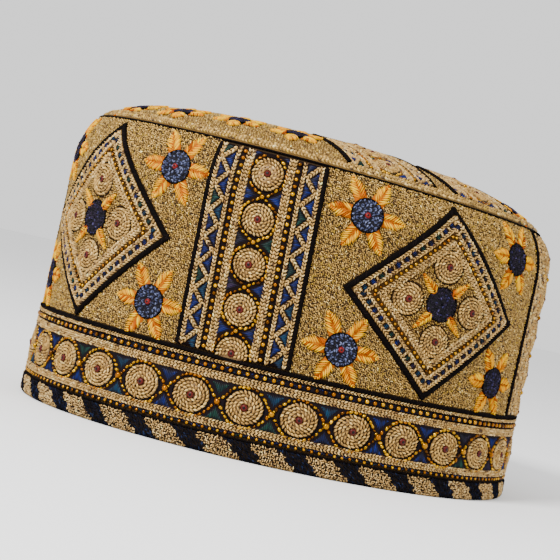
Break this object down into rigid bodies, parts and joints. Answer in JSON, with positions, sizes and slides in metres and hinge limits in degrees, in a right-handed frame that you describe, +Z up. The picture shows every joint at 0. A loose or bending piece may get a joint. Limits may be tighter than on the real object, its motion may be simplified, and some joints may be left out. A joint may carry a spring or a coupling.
{
  "type": "embroidered cap",
  "caption": "Brimless oval cap with an upright embroidered side wall, raised border band, folded striped hem and softly domed crown, worn on the head.",
  "frame": {"origin": "on the floor under the middle of the cap, at the centre of its oval", "axes": "+X along the oval's long way, -Y the front that faces the picture, +Z up through the crown"},
  "size_m": [0.1986, 0.1706, 0.1226],
  "materials": {
    "gold_ground": "cloth covered closely with short metallic gold-tan stitches",
    "striped_tape": "gold-tan cloth with slanted navy-black stitched stripes, folded round the lower edge",
    "border_thread": "band of couched tan thread, gold beads and blue stitches on dark cloth",
    "black_cord": "matt black twisted cord",
    "tan_thread": "couched tan and gold thread with blue and teal filling stitches",
    "petal_thread": "golden yellow satin stitch with orange midribs and blue knotted middles"
  },
  "bodies": {
    "root": {"side_wall": "gold_ground", "crown": "gold_ground", "hem_binding": "striped_tape", "border_band": "border_thread", "border_cord_low": "black_cord", "border_cord_top": "black_cord", "seam_cord": "black_cord", "panel_1": "tan_thread", "panel_2": "tan_thread", "panel_3": "tan_thread", "panel_4": "tan_thread", "diamond_1": "tan_thread", "diamond_2": "tan_thread", "diamond_3": "tan_thread", "diamond_4": "tan_thread", "flower_1_left_low": "petal_thread", "flower_1_left_high": "petal_thread", "flower_1_right_low": "petal_thread", "flower_1_right_high": "petal_thread", "flower_2_left_low": "petal_thread", "flower_2_left_high": "petal_thread", "flower_2_right_low": "petal_thread", "flower_2_right_high": "petal_thread", "flower_3_left_low": "petal_thread", "flower_3_left_high": "petal_thread", "flower_3_right_low": "petal_thread", "flower_3_right_high": "petal_thread", "flower_4_left_low": "petal_thread", "flower_4_left_high": "petal_thread", "flower_4_right_low": "petal_thread", "flower_4_right_high": "petal_thread"}
  },
  "joints": []
}
